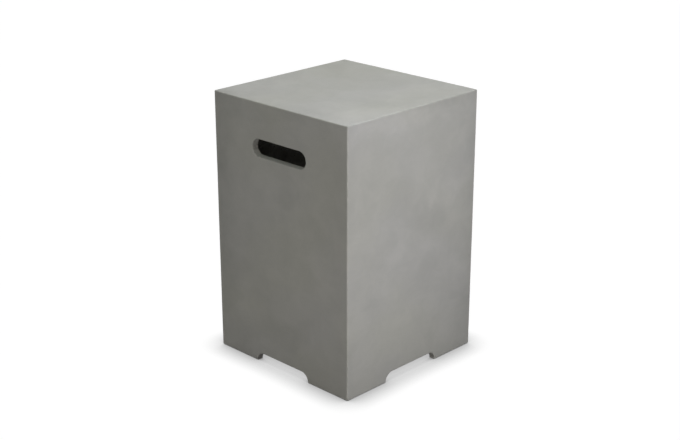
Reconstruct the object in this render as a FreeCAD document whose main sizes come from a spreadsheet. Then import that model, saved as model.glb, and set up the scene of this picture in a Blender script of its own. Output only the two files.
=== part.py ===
import FreeCAD, Part

import math
import os

import Sketcher

# A square concrete cover that stands over a gas cylinder and serves as a side table.
# The origin is at the middle of its footprint, on the ground. +Z is up, the front, with
# one of the two hand slots, faces -Y, and +X is to its right.

# Driving sizes, in millimetres
SIZES = {
    "cover_width": 400,
    "cover_depth": 400,
    "cover_height": 600,
    "corner_radius": 3,
    "top_arris": 2.5,
    "rim_arris": 2.5,
    "slot_arris": 2.5,
    "face_thickness": 4,
    "backing_thickness": 11,
    "hollow_corner": 25,
    "hollow_cove": 20,
    "slot_length": 160,
    "slot_width": 38,
    "slot_drop": 100,
    "notch_length": 160,
    "notch_rise": 20,
    "scrim_thickness": 1,
    "scrim_margin": 20,
    "scrim_gap": 12,
    "pad_thickness": 2,
    "pad_proud": 0.5,
    "pad_margin": 1.5,
}

# Sizes that follow from the driving ones, as expressions
WIDTH = "Sizes.cover_width"
DEPTH = "Sizes.cover_depth"
LEG_FOOT = "Sizes.pad_proud"
TOP = f"({LEG_FOOT} + Sizes.cover_height)"
FACE = "Sizes.face_thickness"
BACKING = "Sizes.backing_thickness"
WALL = f"({FACE} + {BACKING})"
SLOT_CENTRE = f"{TOP} - Sizes.slot_drop"
LINED_SLOT_LENGTH = f"Sizes.slot_length + 2 * {FACE}"
LINED_SLOT_WIDTH = f"Sizes.slot_width + 2 * {FACE}"
LINED_NOTCH_LENGTH = f"Sizes.notch_length + 2 * {FACE}"
LINED_NOTCH_RISE = f"Sizes.notch_rise + {FACE}"
COATED_WIDTH = f"{WIDTH} - 2 * {FACE}"
COATED_DEPTH = f"{DEPTH} - 2 * {FACE}"
SMALLEST_CORNER = "0.4 * Sizes.corner_radius"
COATED_CORNER = f"max(Sizes.corner_radius - {FACE}; {SMALLEST_CORNER})"
SCRIM = "Sizes.scrim_thickness"
SCRIM_MARGIN = "Sizes.scrim_margin"
SCRIM_GAP = "Sizes.scrim_gap"
SCRIM_BASE = f"{LEG_FOOT} + {LINED_NOTCH_RISE} + {SCRIM_GAP}"
SCRIM_RISE = f"{TOP} - {FACE} - {SCRIM_MARGIN} - ({SCRIM_BASE})"
PAD_MARGIN = "Sizes.pad_margin"
PAD_INSET = f"({FACE} + {PAD_MARGIN})"
PAD_WIDTH = f"{BACKING} - 2 * {PAD_MARGIN}"
PAD_ARM_ALONG_X = f"({WIDTH} - Sizes.notch_length) / 2 - 2 * {PAD_INSET}"
PAD_ARM_ALONG_Y = f"({DEPTH} - Sizes.notch_length) / 2 - 2 * {PAD_INSET}"
PAD_CORNER = f"max(Sizes.corner_radius - {PAD_INSET}; {SMALLEST_CORNER})"
PAD_INNER_CORNER = f"Sizes.hollow_corner + {PAD_MARGIN}"

# An arris or a cove never takes the whole of what it rounds
LARGEST_ARRIS = f"0.8 * {FACE}"
LARGEST_COVE = "0.8 * Sizes.hollow_corner"

TOUCH = 0.001

# The side and the end, along X and Y, of each corner
CORNERS = {
    "front_left": (-1, -1),
    "front_right": (1, -1),
    "rear_right": (1, 1),
    "rear_left": (-1, 1),
}

# Names of the sketch points and axes that constraints refer to
START, END, CENTRE = 1, 2, 3
ORIGIN, ACROSS, UPRIGHT = -1, -1, -2


# Document and sheet of sizes


def write_sizes():
    for row, (alias, value) in enumerate(SIZES.items(), start=1):
        sheet.set(f"A{row}", alias)
        sheet.set(f"B{row}", str(value))
        sheet.setAlias(f"B{row}", alias)
    doc.recompute()


def measure(expression):
    return float(sheet.evalExpression(expression))


def point(across, up):
    return FreeCAD.Vector(across, up, 0)


# Sketches: each is drawn near its size, then constrained and bound to the sheet


def new_body(label):
    body = doc.addObject("PartDesign::Body", label)
    body.Label = label
    return body


def new_sketch(body, name, role, offset=None):
    plane = next(f for f in body.Origin.OriginFeatures if f.Role == role)
    sketch = body.newObject("Sketcher::SketchObject", name)
    sketch.AttachmentSupport = (plane, [""])
    sketch.MapMode = "FlatFace"
    if offset:
        sketch.setExpression("AttachmentOffset.Base.z", offset)
    return sketch


def line(sketch, first, second):
    return sketch.addGeometry(Part.LineSegment(first, second))


def quarter_turns(sketch, centre, radius, first, last):
    """An arc from one multiple of a right angle to another, anticlockwise."""
    turn = math.pi / 2
    circle = Part.Circle(centre, FreeCAD.Vector(0, 0, 1), radius)
    return sketch.addGeometry(Part.ArcOfCircle(circle, first * turn, last * turn))


def smooth(sketch, *joins):
    for first, first_end, second, second_end in joins:
        sketch.addConstraint(
            Sketcher.Constraint("Tangent", first, first_end, second, second_end)
        )


def meet(sketch, *joins):
    for first, first_end, second, second_end in joins:
        sketch.addConstraint(
            Sketcher.Constraint("Coincident", first, first_end, second, second_end)
        )


def bind(sketch, name, expression, kind, *places):
    """One dimension of a sketch, held at the value of an expression."""
    index = sketch.addConstraint(
        Sketcher.Constraint(kind, *places, measure(expression))
    )
    sketch.renameConstraint(index, name)
    sketch.setExpression(f"Constraints.{name}", expression)


def draw_rounded_rectangle(sketch, width, depth, radius):
    """A rectangle with four round corners, centred on the sketch's origin."""
    corner = measure(radius)
    half_width = measure(width) / 2
    half_depth = measure(depth) / 2
    in_x = half_width - corner
    in_y = half_depth - corner
    front = line(sketch, point(-in_x, -half_depth), point(in_x, -half_depth))
    right = line(sketch, point(half_width, -in_y), point(half_width, in_y))
    rear = line(sketch, point(in_x, half_depth), point(-in_x, half_depth))
    left = line(sketch, point(-half_width, in_y), point(-half_width, -in_y))
    front_right = quarter_turns(sketch, point(in_x, -in_y), corner, 3, 4)
    rear_right = quarter_turns(sketch, point(in_x, in_y), corner, 0, 1)
    rear_left = quarter_turns(sketch, point(-in_x, in_y), corner, 1, 2)
    front_left = quarter_turns(sketch, point(-in_x, -in_y), corner, 2, 3)
    smooth(
        sketch,
        (front, END, front_right, START),
        (front_right, END, right, START),
        (right, END, rear_right, START),
        (rear_right, END, rear, START),
        (rear, END, rear_left, START),
        (rear_left, END, left, START),
        (left, END, front_left, START),
        (front_left, END, front, START),
    )
    for other in (rear_right, rear_left, front_left):
        sketch.addConstraint(Sketcher.Constraint("Equal", front_right, other))
    for level in (front, rear):
        sketch.addConstraint(Sketcher.Constraint("Horizontal", level))
    for level in (left, right):
        sketch.addConstraint(Sketcher.Constraint("Vertical", level))
    sketch.addConstraint(
        Sketcher.Constraint(
            "Symmetric", front_left, CENTRE, rear_right, CENTRE, ORIGIN, START
        )
    )
    bind(sketch, "corner", radius, "Radius", front_right)
    bind(sketch, "across", width, "DistanceX", left, START, right, START)
    bind(sketch, "along", depth, "DistanceY", front, START, rear, START)


def draw_rectangle(sketch, width, rise, base):
    """A plain rectangle, centred across the sketch, whose foot is at a given height."""
    half = measure(width) / 2
    low = measure(base)
    high = low + measure(rise)
    foot = line(sketch, point(-half, low), point(half, low))
    right = line(sketch, point(half, low), point(half, high))
    head = line(sketch, point(half, high), point(-half, high))
    left = line(sketch, point(-half, high), point(-half, low))
    meet(
        sketch,
        (foot, END, right, START),
        (right, END, head, START),
        (head, END, left, START),
        (left, END, foot, START),
    )
    sketch.addConstraint(
        Sketcher.Constraint("Symmetric", foot, START, foot, END, UPRIGHT)
    )
    sketch.addConstraint(Sketcher.Constraint("Vertical", right))
    sketch.addConstraint(Sketcher.Constraint("Vertical", left))
    sketch.addConstraint(Sketcher.Constraint("Horizontal", head))
    bind(sketch, "across", width, "DistanceX", foot, START, foot, END)
    bind(sketch, "rise", rise, "DistanceY", right, START, right, END)
    bind(sketch, "base", base, "DistanceY", ORIGIN, START, foot, START)


def draw_slot(sketch, length, width, height):
    """A round-ended slot, centred across the sketch at a given height."""
    radius = measure(width) / 2
    reach = measure(length) / 2 - radius
    middle = measure(height)
    lower = line(
        sketch, point(-reach, middle - radius), point(reach, middle - radius)
    )
    right = quarter_turns(sketch, point(reach, middle), radius, -1, 1)
    upper = line(
        sketch, point(reach, middle + radius), point(-reach, middle + radius)
    )
    left = quarter_turns(sketch, point(-reach, middle), radius, 1, 3)
    smooth(
        sketch,
        (lower, END, right, START),
        (right, END, upper, START),
        (upper, END, left, START),
        (left, END, lower, START),
    )
    sketch.addConstraint(Sketcher.Constraint("Equal", left, right))
    sketch.addConstraint(
        Sketcher.Constraint("Symmetric", left, CENTRE, right, CENTRE, UPRIGHT)
    )
    bind(sketch, "end_radius", f"({width}) / 2", "Radius", right)
    bind(
        sketch,
        "between_ends",
        f"({length}) - ({width})",
        "DistanceX",
        left,
        CENTRE,
        right,
        CENTRE,
    )
    bind(sketch, "height", height, "DistanceY", ORIGIN, START, right, CENTRE)


def draw_notch(sketch, length, rise, base):
    """The upper half of a round-ended slot, standing on the foot of the legs."""
    radius = measure(rise)
    half = measure(length) / 2
    reach = half - radius
    low = measure(base)
    foot = line(sketch, point(-half, low), point(half, low))
    right = quarter_turns(sketch, point(reach, low), radius, 0, 1)
    head = line(sketch, point(reach, low + radius), point(-reach, low + radius))
    left = quarter_turns(sketch, point(-reach, low), radius, 1, 2)
    meet(sketch, (foot, END, right, START), (left, END, foot, START))
    smooth(sketch, (right, END, head, START), (head, END, left, START))
    sketch.addConstraint(Sketcher.Constraint("Equal", left, right))
    for arc in (left, right):
        sketch.addConstraint(Sketcher.Constraint("PointOnObject", arc, CENTRE, foot))
    sketch.addConstraint(
        Sketcher.Constraint("Symmetric", foot, START, foot, END, UPRIGHT)
    )
    bind(sketch, "end_radius", rise, "Radius", right)
    bind(sketch, "across", length, "DistanceX", foot, START, foot, END)
    bind(sketch, "base", base, "DistanceY", ORIGIN, START, foot, START)


def draw_angle(sketch, first_arm, second_arm, width, corner, inner_corner):
    """An L along the sketch's two axes, with its outer corner at the origin."""
    along = measure(first_arm)
    up = measure(second_arm)
    broad = measure(width)
    outer = measure(corner)
    inner = measure(inner_corner)
    bend = broad + inner
    outer_foot = line(sketch, point(outer, 0), point(along, 0))
    first_end = line(sketch, point(along, 0), point(along, broad))
    inner_foot = line(sketch, point(along, broad), point(bend, broad))
    inner_arc = quarter_turns(sketch, point(bend, bend), inner, 2, 3)
    inner_side = line(sketch, point(broad, bend), point(broad, up))
    second_end = line(sketch, point(broad, up), point(0, up))
    outer_side = line(sketch, point(0, up), point(0, outer))
    outer_arc = quarter_turns(sketch, point(outer, outer), outer, 2, 3)
    meet(
        sketch,
        (outer_foot, END, first_end, START),
        (first_end, END, inner_foot, START),
        (inner_side, END, second_end, START),
        (second_end, END, outer_side, START),
    )
    smooth(
        sketch,
        (inner_foot, END, inner_arc, END),
        (inner_arc, START, inner_side, START),
        (outer_side, END, outer_arc, START),
        (outer_arc, END, outer_foot, START),
    )
    for level in (outer_foot, inner_foot, second_end):
        sketch.addConstraint(Sketcher.Constraint("Horizontal", level))
    for level in (outer_side, inner_side, first_end):
        sketch.addConstraint(Sketcher.Constraint("Vertical", level))
    sketch.addConstraint(
        Sketcher.Constraint("PointOnObject", outer_foot, START, ACROSS)
    )
    sketch.addConstraint(
        Sketcher.Constraint("PointOnObject", outer_side, END, UPRIGHT)
    )
    bind(sketch, "corner", corner, "Radius", outer_arc)
    bind(sketch, "inner_corner", inner_corner, "Radius", inner_arc)
    bind(sketch, "first_arm", first_arm, "DistanceX", outer_side, END, first_end, END)
    bind(sketch, "second_arm", second_arm, "DistanceY", first_end, START, second_end, END)
    bind(sketch, "first_width", width, "DistanceY", first_end, START, first_end, END)
    bind(sketch, "second_width", width, "DistanceX", second_end, END, second_end, START)


# Features


def pad(body, name, sketch, length, inward=False):
    feature = body.newObject("PartDesign::Pad", name)
    feature.Profile = sketch
    feature.Reversed = inward
    feature.setExpression("Length", length)
    doc.recompute()
    return feature


def pocket(body, name, sketch, depth=None, upward=False):
    """Cut a sketch out of a body: to a depth, or both ways through all of it."""
    before = body.Shape.Volume
    feature = body.newObject("PartDesign::Pocket", name)
    feature.Profile = sketch
    if depth:
        feature.Reversed = upward
        feature.setExpression("Length", depth)
    else:
        feature.Type = "ThroughAll"
        feature.SideType = "Symmetric"
    doc.recompute()
    if body.Shape.Volume > before - TOUCH:
        raise ValueError(f"{name} cuts nothing from {body.Label}")
    return feature


def mirror(body, name, role, originals):
    plane = next(f for f in body.Origin.OriginFeatures if f.Role == role)
    feature = body.newObject("PartDesign::Mirrored", name)
    feature.Originals = originals
    feature.MirrorPlane = (plane, [""])
    body.Tip = feature
    doc.recompute()
    return feature


def round_edges(body, name, chosen, radius):
    """Round every edge of a body for which chosen(edge) holds."""
    tip = body.Tip
    edges = [
        f"Edge{number}"
        for number, edge in enumerate(tip.Shape.Edges, start=1)
        if chosen(edge)
    ]
    feature = body.newObject("PartDesign::Fillet", name)
    feature.Base = (tip, edges)
    feature.setExpression("Radius", radius)
    doc.recompute()
    return feature


def on_outside(edge):
    """Whether both ends of an edge lie in the cover's outer side planes."""
    half_width = measure(WIDTH) / 2
    half_depth = measure(DEPTH) / 2
    return all(
        abs(abs(end.Point.x) - half_width) < TOUCH
        or abs(abs(end.Point.y) - half_depth) < TOUCH
        for end in edge.Vertexes
    )


def between(edge, low, high):
    return edge.BoundBox.ZMin > low - TOUCH and edge.BoundBox.ZMax < high + TOUCH


# The casting's two layers


def make_face_coat():
    """The dense outer layer: top, four sides, and the linings of slots and notches."""
    body = new_body("face_coat")
    block = new_sketch(body, "coat_outline", "XY_Plane", LEG_FOOT)
    draw_rounded_rectangle(block, WIDTH, DEPTH, "Sizes.corner_radius")
    pad(body, "coat_block", block, f"{TOP} - {LEG_FOOT}")

    hollow = new_sketch(body, "coat_hollow_outline", "XY_Plane", LEG_FOOT)
    draw_rounded_rectangle(hollow, COATED_WIDTH, COATED_DEPTH, COATED_CORNER)
    pocket(body, "coat_hollow", hollow, f"{TOP} - {LEG_FOOT} - {FACE}", upward=True)

    front = f"{DEPTH} / 2 - {FACE}"
    right = f"{WIDTH} / 2 - {FACE}"
    slot_lining = new_sketch(body, "slot_lining_outline", "XZ_Plane", front)
    draw_slot(slot_lining, LINED_SLOT_LENGTH, LINED_SLOT_WIDTH, SLOT_CENTRE)
    front_notch = new_sketch(body, "front_notch_lining_outline", "XZ_Plane", front)
    draw_notch(front_notch, LINED_NOTCH_LENGTH, LINED_NOTCH_RISE, LEG_FOOT)
    right_notch = new_sketch(body, "right_notch_lining_outline", "YZ_Plane", right)
    draw_notch(right_notch, LINED_NOTCH_LENGTH, LINED_NOTCH_RISE, LEG_FOOT)
    front_linings = [
        pad(body, "slot_lining", slot_lining, BACKING, inward=True),
        pad(body, "front_notch_lining", front_notch, BACKING, inward=True),
    ]
    side_linings = [
        pad(body, "right_notch_lining", right_notch, BACKING, inward=True)
    ]
    mirror(body, "rear_linings", "XZ_Plane", front_linings)
    mirror(body, "left_lining", "YZ_Plane", side_linings)

    slots = new_sketch(body, "slot_outline", "XZ_Plane")
    draw_slot(slots, "Sizes.slot_length", "Sizes.slot_width", SLOT_CENTRE)
    pocket(body, "hand_slots", slots)
    for name, role in (("front_rear", "XZ_Plane"), ("left_right", "YZ_Plane")):
        notch = new_sketch(body, f"{name}_notch_outline", role)
        draw_notch(notch, "Sizes.notch_length", "Sizes.notch_rise", LEG_FOOT)
        pocket(body, f"{name}_notches", notch)

    top = measure(TOP)
    foot = measure(LEG_FOOT)
    notch_head = foot + measure("Sizes.notch_rise")
    slot_low = measure(f"{SLOT_CENTRE} - Sizes.slot_width / 2")
    slot_high = measure(f"{SLOT_CENTRE} + Sizes.slot_width / 2")
    round_edges(
        body,
        "top_arris",
        lambda edge: on_outside(edge) and between(edge, top, top),
        f"min(Sizes.top_arris; {LARGEST_ARRIS})",
    )
    round_edges(
        body,
        "rim_arris",
        lambda edge: on_outside(edge) and between(edge, foot, notch_head),
        f"min(Sizes.rim_arris; {LARGEST_ARRIS})",
    )
    round_edges(
        body,
        "slot_arris",
        lambda edge: on_outside(edge) and between(edge, slot_low, slot_high),
        f"min(Sizes.slot_arris; {LARGEST_ARRIS})",
    )
    return body


def make_fibre_backing():
    """The fibre concrete behind the face coat, with seats for the nets and the pads."""
    body = new_body("fibre_backing")
    block = new_sketch(body, "backing_outline", "XY_Plane", LEG_FOOT)
    draw_rounded_rectangle(block, COATED_WIDTH, COATED_DEPTH, COATED_CORNER)
    pad(body, "backing_block", block, f"{TOP} - {LEG_FOOT} - {FACE}")

    hollow = new_sketch(body, "hollow_outline", "XY_Plane", LEG_FOOT)
    draw_rounded_rectangle(
        hollow, f"{WIDTH} - 2 * {WALL}", f"{DEPTH} - 2 * {WALL}", "Sizes.hollow_corner"
    )
    pocket(body, "hollow", hollow, f"{TOP} - {LEG_FOOT} - {WALL}", upward=True)
    ceiling = measure(f"{TOP} - {WALL}")
    round_edges(
        body,
        "hollow_cove",
        lambda edge: between(edge, ceiling, ceiling),
        f"min(Sizes.hollow_cove; {LARGEST_COVE})",
    )

    slots = new_sketch(body, "lined_slot_outline", "XZ_Plane")
    draw_slot(slots, LINED_SLOT_LENGTH, LINED_SLOT_WIDTH, SLOT_CENTRE)
    pocket(body, "lined_slots", slots)
    for name, role in (("front_rear", "XZ_Plane"), ("left_right", "YZ_Plane")):
        notch = new_sketch(body, f"lined_{name}_notch_outline", role)
        draw_notch(notch, LINED_NOTCH_LENGTH, LINED_NOTCH_RISE, LEG_FOOT)
        pocket(body, f"lined_{name}_notches", notch)

    front_seat = new_sketch(body, "front_seat", "XZ_Plane", f"{DEPTH} / 2 - {FACE}")
    draw_slotted_sheet(front_seat)
    front = pocket(body, "front_scrim_seat", front_seat, SCRIM)
    mirror(body, "rear_scrim_seat", "XZ_Plane", [front])
    right_seat = new_sketch(body, "right_seat", "YZ_Plane", f"{WIDTH} / 2 - {FACE}")
    draw_side_sheet(right_seat)
    right = pocket(body, "right_scrim_seat", right_seat, SCRIM)
    mirror(body, "left_scrim_seat", "YZ_Plane", [right])
    top_seat = new_sketch(body, "top_seat", "XY_Plane", f"{TOP} - {FACE}")
    draw_top_sheet(top_seat)
    pocket(body, "top_scrim_seat", top_seat, SCRIM)
    for corner, (side, end) in CORNERS.items():
        seat = new_sketch(body, f"{corner}_pad_seat_outline", "XY_Plane", LEG_FOOT)
        draw_pad(seat, side, end)
        depth = f"Sizes.pad_thickness - {LEG_FOOT}"
        pocket(body, f"{corner}_pad_seat", seat, depth, upward=True)
    return body


# The sheets of net between the layers


def draw_slotted_sheet(sketch):
    width = f"{COATED_WIDTH} - 2 * {SCRIM_MARGIN}"
    draw_rectangle(sketch, width, SCRIM_RISE, SCRIM_BASE)
    clear = f"2 * {SCRIM_GAP}"
    length = f"{LINED_SLOT_LENGTH} + {clear}"
    draw_slot(sketch, length, f"{LINED_SLOT_WIDTH} + {clear}", SLOT_CENTRE)


def draw_side_sheet(sketch):
    width = f"{COATED_DEPTH} - 2 * {SCRIM_MARGIN}"
    draw_rectangle(sketch, width, SCRIM_RISE, SCRIM_BASE)


def draw_top_sheet(sketch):
    width = f"{COATED_WIDTH} - 2 * {SCRIM_MARGIN}"
    depth = f"{COATED_DEPTH} - 2 * {SCRIM_MARGIN}"
    draw_rectangle(sketch, width, depth, f"-({depth}) / 2")


def make_scrim(label, role, side, distance, draw):
    """A sheet of net on the back of the face coat; side is that of its plane, -1 or 1."""
    body = new_body(label)
    sketch = new_sketch(body, f"{label}_outline", role, f"{side} * ({distance})")
    draw(sketch)
    pad(body, f"{label}_sheet", sketch, SCRIM, inward=side > 0)
    return body


# The pads under the legs


def draw_pad(sketch, side, end):
    """An L under one leg, in the backing's footprint; side and end are -1 or 1."""
    quarter = {(-1, -1): 0, (1, -1): 1, (1, 1): 2, (-1, 1): 3}[(side, end)]
    arms = (PAD_ARM_ALONG_X, PAD_ARM_ALONG_Y)
    first_arm = arms[quarter % 2]
    second_arm = arms[(quarter + 1) % 2]
    draw_angle(sketch, first_arm, second_arm, PAD_WIDTH, PAD_CORNER, PAD_INNER_CORNER)
    upward = FreeCAD.Vector(0, 0, 1)
    sketch.AttachmentOffset.Rotation = FreeCAD.Rotation(upward, 90 * quarter)
    across = f"{side} * ({WIDTH} / 2 - {PAD_INSET})"
    along = f"{end} * ({DEPTH} / 2 - {PAD_INSET})"
    sketch.setExpression("AttachmentOffset.Base.x", across)
    sketch.setExpression("AttachmentOffset.Base.y", along)


def make_foot_pad(corner, side, end):
    """A rubber pad that fills its seat under a leg and stands a little proud of it."""
    body = new_body(f"foot_pad_{corner}")
    sketch = new_sketch(body, f"foot_pad_{corner}_outline", "XY_Plane")
    draw_pad(sketch, side, end)
    pad(body, f"foot_pad_{corner}_sheet", sketch, "Sizes.pad_thickness")
    return body


# Checks and export


def check_objects():
    for item in doc.Objects:
        if {"Invalid", "Error"} & set(item.State):
            raise ValueError(f"{item.Label} is {item.State}")


def export(bodies):
    os.makedirs("parts", exist_ok=True)
    for body in bodies:
        shape = body.Shape
        if shape.isNull() or not shape.isValid() or len(shape.Solids) != 1:
            raise ValueError(f"{body.Label} is not one sound solid")
    for body in bodies:
        body.Shape.exportStep(f"parts/{body.Label}.step")
        print(body.Label, round(body.Shape.Volume), "mm3")


doc = FreeCAD.newDocument("TankCover")
sheet = doc.addObject("Spreadsheet::Sheet", "Sizes")
write_sizes()
pieces = [
    make_face_coat(),
    make_fibre_backing(),
    make_scrim("scrim_top", "XY_Plane", 1, f"{TOP} - {FACE}", draw_top_sheet),
    make_scrim("scrim_front", "XZ_Plane", 1, f"{DEPTH} / 2 - {FACE}", draw_slotted_sheet),
    make_scrim("scrim_rear", "XZ_Plane", -1, f"{DEPTH} / 2 - {FACE}", draw_slotted_sheet),
    make_scrim("scrim_right", "YZ_Plane", 1, f"{WIDTH} / 2 - {FACE}", draw_side_sheet),
    make_scrim("scrim_left", "YZ_Plane", -1, f"{WIDTH} / 2 - {FACE}", draw_side_sheet),
]
for corner, (side, end) in CORNERS.items():
    pieces.append(make_foot_pad(corner, side, end))
check_objects()
export(pieces)
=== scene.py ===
# %% [markdown]
# A square concrete cover stands over a gas cylinder on a terrace and serves as a side table.
# The measured solids of the cover are loaded first, as a fixed frame. Everything modelled below
# is built around them, in metres, with +Z up and the origin on the ground under the middle.

import math
import random

import bmesh
import bpy
from mathutils import Matrix, Vector


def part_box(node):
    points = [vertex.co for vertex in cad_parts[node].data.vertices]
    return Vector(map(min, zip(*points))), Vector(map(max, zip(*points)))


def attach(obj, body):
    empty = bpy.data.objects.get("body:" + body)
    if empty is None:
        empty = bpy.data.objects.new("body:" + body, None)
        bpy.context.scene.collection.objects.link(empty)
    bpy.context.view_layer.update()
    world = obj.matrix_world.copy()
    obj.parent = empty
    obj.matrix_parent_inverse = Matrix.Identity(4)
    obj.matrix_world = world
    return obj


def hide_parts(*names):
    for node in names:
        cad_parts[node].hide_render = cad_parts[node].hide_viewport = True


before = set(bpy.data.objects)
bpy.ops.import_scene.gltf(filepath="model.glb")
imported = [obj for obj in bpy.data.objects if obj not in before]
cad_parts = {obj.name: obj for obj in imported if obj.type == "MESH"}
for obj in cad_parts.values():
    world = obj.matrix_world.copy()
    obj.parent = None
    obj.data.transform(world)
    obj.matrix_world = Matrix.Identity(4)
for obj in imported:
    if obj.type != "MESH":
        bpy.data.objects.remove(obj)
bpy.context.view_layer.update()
print("nodes:", ", ".join(sorted(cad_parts)))

# %% [markdown]
# Sizes could be typed in again from a drawing, but then every change to the solids would have to
# be followed by hand. So the sizes that the frame can tell are read from it. The few that it
# can't tell, such as the length of a slot, are written once, in millimetres times MM, in the
# cell that needs them first.

# %% Sizes
MM = 0.001
BACKING = 11 * MM

coat_low, coat_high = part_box("face_coat")
backing_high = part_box("fibre_backing")[1]

WIDTH = coat_high.x - coat_low.x
DEPTH = coat_high.y - coat_low.y
LEG_FOOT = coat_low.z
TOP = coat_high.z
COAT = coat_high.x - backing_high.x
WALL = COAT + BACKING
print(f"cover {WIDTH / MM:.1f} x {DEPTH / MM:.1f} mm, top at {TOP / MM:.1f} mm")
print(f"coat {COAT / MM:.1f} mm, wall {WALL / MM:.1f} mm")

# %% [markdown]
# The camera comes before the pieces, because it decides what the picture has to show. A
# photographer stood off one corner, a little above the table top, with a long lens: about 45
# degrees round from the front and 20 degrees up. The camera could be nudged by hand until the
# picture fits. Its place was worked out from the box's seven visible corners instead, so that
# all of them fall where they do in the photograph, to about half a pixel.

# %% Camera
CAMERA_AZIMUTH = math.radians(44.602)
CAMERA_ELEVATION = math.radians(20.284)
CAMERA_ROLL = math.radians(-0.057)
CAMERA_DISTANCE = 2.9306
AIM_ACROSS = -13.03 * MM
AIM_UP = 1.81 * MM
SENSOR_WIDTH = 36.0
LENS = 69.80
SEES_AS_FAR_AS = 100


def place_camera():
    towards_camera = Vector((
        math.sin(CAMERA_AZIMUTH) * math.cos(CAMERA_ELEVATION),
        -math.cos(CAMERA_AZIMUTH) * math.cos(CAMERA_ELEVATION),
        math.sin(CAMERA_ELEVATION),
    ))
    across = Vector((math.cos(CAMERA_AZIMUTH), math.sin(CAMERA_AZIMUTH), 0))
    upwards = towards_camera.cross(across)
    aim = Vector((0, 0, (LEG_FOOT + TOP) / 2)) + across * AIM_ACROSS + upwards * AIM_UP
    bpy.ops.object.camera_add(location=aim + towards_camera * CAMERA_DISTANCE)
    camera = bpy.context.object
    camera.name = "camera"
    level = (-towards_camera).to_track_quat("-Z", "Y")
    camera.rotation_euler = level.to_euler()
    camera.rotation_euler.rotate_axis("Z", CAMERA_ROLL)
    camera.data.sensor_width = SENSOR_WIDTH
    camera.data.lens = LENS
    camera.data.clip_end = SEES_AS_FAR_AS
    bpy.context.scene.camera = camera
    return camera


print("camera at", [round(value, 3) for value in place_camera().location])

# %% [markdown]
# The light is plain and soft. One strong lamp would show the form too, but with a hard shadow
# that the photograph doesn't have. So a broad overhead light leans in from behind the cover,
# and soft boxes stand round it. Two small ones at the right, one low and one above it, stand
# just behind the line of the front wall: they light the right side without grazing the front or
# shining into the openings there. A low one at the front right fills the darker side, and a high
# one before it reaches the lower lip of the slot. One at the back lights the two sides that the
# camera doesn't see. The soft boxes light the cover alone, as if flagged off the floor with
# black cards.

# %% Overhead light and soft boxes
OVERHEAD_PLACE = (0, 0, 3)
OVERHEAD_LEAN = 0.075
OVERHEAD_SPREAD = math.radians(8.6)
OVERHEAD_STRENGTH = 0.98
OVERHEAD_TINT = (1.0, 1.0, 0.975)
SOFT_BOXES = (
    ("side_soft_box_low", (0.90, -0.12, 0.35), 0.16, 1.59, (1.015, 1.0, 1.0)),
    ("side_soft_box_high", (1.00, -0.10, 1.40), 0.20, 7.1, (1.0, 1.0, 1.11)),
    ("front_soft_box_low", (1.00, -1.60, 0.45), 1.0, 6.1, (1.08, 1.0, 1.01)),
    ("front_soft_box_high", (-0.20, -2.00, 3.00), 1.6, 17.5, (0.95, 1.0, 0.94)),
    ("back_soft_box", (-1.60, 2.60, 1.40), 1.8, 18.5, (1, 1, 1)),
)
LIGHT_AIM = (0, 0, 0.3)

lit_pieces = bpy.data.collections.new("lit_by_soft_boxes")


def turn_towards(light, aim):
    direction = Vector(aim) - light.location
    light.rotation_euler = direction.to_track_quat("-Z", "Y").to_euler()


def place_overhead_light():
    bpy.ops.object.light_add(type="SUN", location=OVERHEAD_PLACE)
    light = bpy.context.object
    light.name = "overhead_light"
    light.data.energy = OVERHEAD_STRENGTH
    light.data.angle = OVERHEAD_SPREAD
    light.data.color = OVERHEAD_TINT
    turn_towards(light, light.location + Vector((OVERHEAD_LEAN, -OVERHEAD_LEAN, -1)))


def place_soft_box(name, place, size, power, colour):
    bpy.ops.object.light_add(type="AREA", location=place)
    light = bpy.context.object
    light.name = name
    light.data.shape = "SQUARE"
    light.data.size = size
    light.data.energy = power
    light.data.color = colour
    turn_towards(light, LIGHT_AIM)
    light.light_linking.receiver_collection = lit_pieces


place_overhead_light()
for soft_box in SOFT_BOXES:
    place_soft_box(*soft_box)
print("one overhead light and", len(SOFT_BOXES), "soft boxes")

# %% [markdown]
# A little light seeps in under the notches, so the slot isn't pitch black. Light that bounces
# that often could be left to the renderer, but it would need many samples to come out smooth.
# A very weak lamp in the hollow stands for it.

# %% Light that seeps in
SEEP_PLACE = (0, 0, 0.25)
SEEP_RADIUS = 0.10
SEEP_POWER = 0.035


def place_seeping_light():
    bpy.ops.object.light_add(type="POINT", location=SEEP_PLACE)
    light = bpy.context.object
    light.name = "seeping_light"
    light.data.energy = SEEP_POWER
    light.data.shadow_soft_size = SEEP_RADIUS
    light.light_linking.receiver_collection = lit_pieces
    return light


print(place_seeping_light().name, "in the hollow")

# %% [markdown]
# The world and the materials are built from nodes. By hand each node is dragged out and wired.
# Here a few short helpers place one node each and feed its inputs, with a number or with another
# node's output, so that what follows reads like a formula.

# %% Node helpers
WHITE = (1, 1, 1, 1)


def feed(tree, socket, value):
    if isinstance(value, bpy.types.NodeSocket):
        tree.links.new(value, socket)
    else:
        socket.default_value = value


def sums(tree, operation, first, second=0.0, third=0.0):
    node = tree.nodes.new("ShaderNodeMath")
    node.operation = operation
    for socket, value in zip(node.inputs, (first, second, third)):
        feed(tree, socket, value)
    return node.outputs[0]


def stretch(tree, value, low, high, new_low=0.0, new_high=1.0, curve="SMOOTHSTEP"):
    node = tree.nodes.new("ShaderNodeMapRange")
    node.interpolation_type = curve
    feed(tree, node.inputs["Value"], value)
    feed(tree, node.inputs["From Min"], low)
    feed(tree, node.inputs["From Max"], high)
    feed(tree, node.inputs["To Min"], new_low)
    feed(tree, node.inputs["To Max"], new_high)
    return node.outputs["Result"]


print("node helpers ready")

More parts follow.
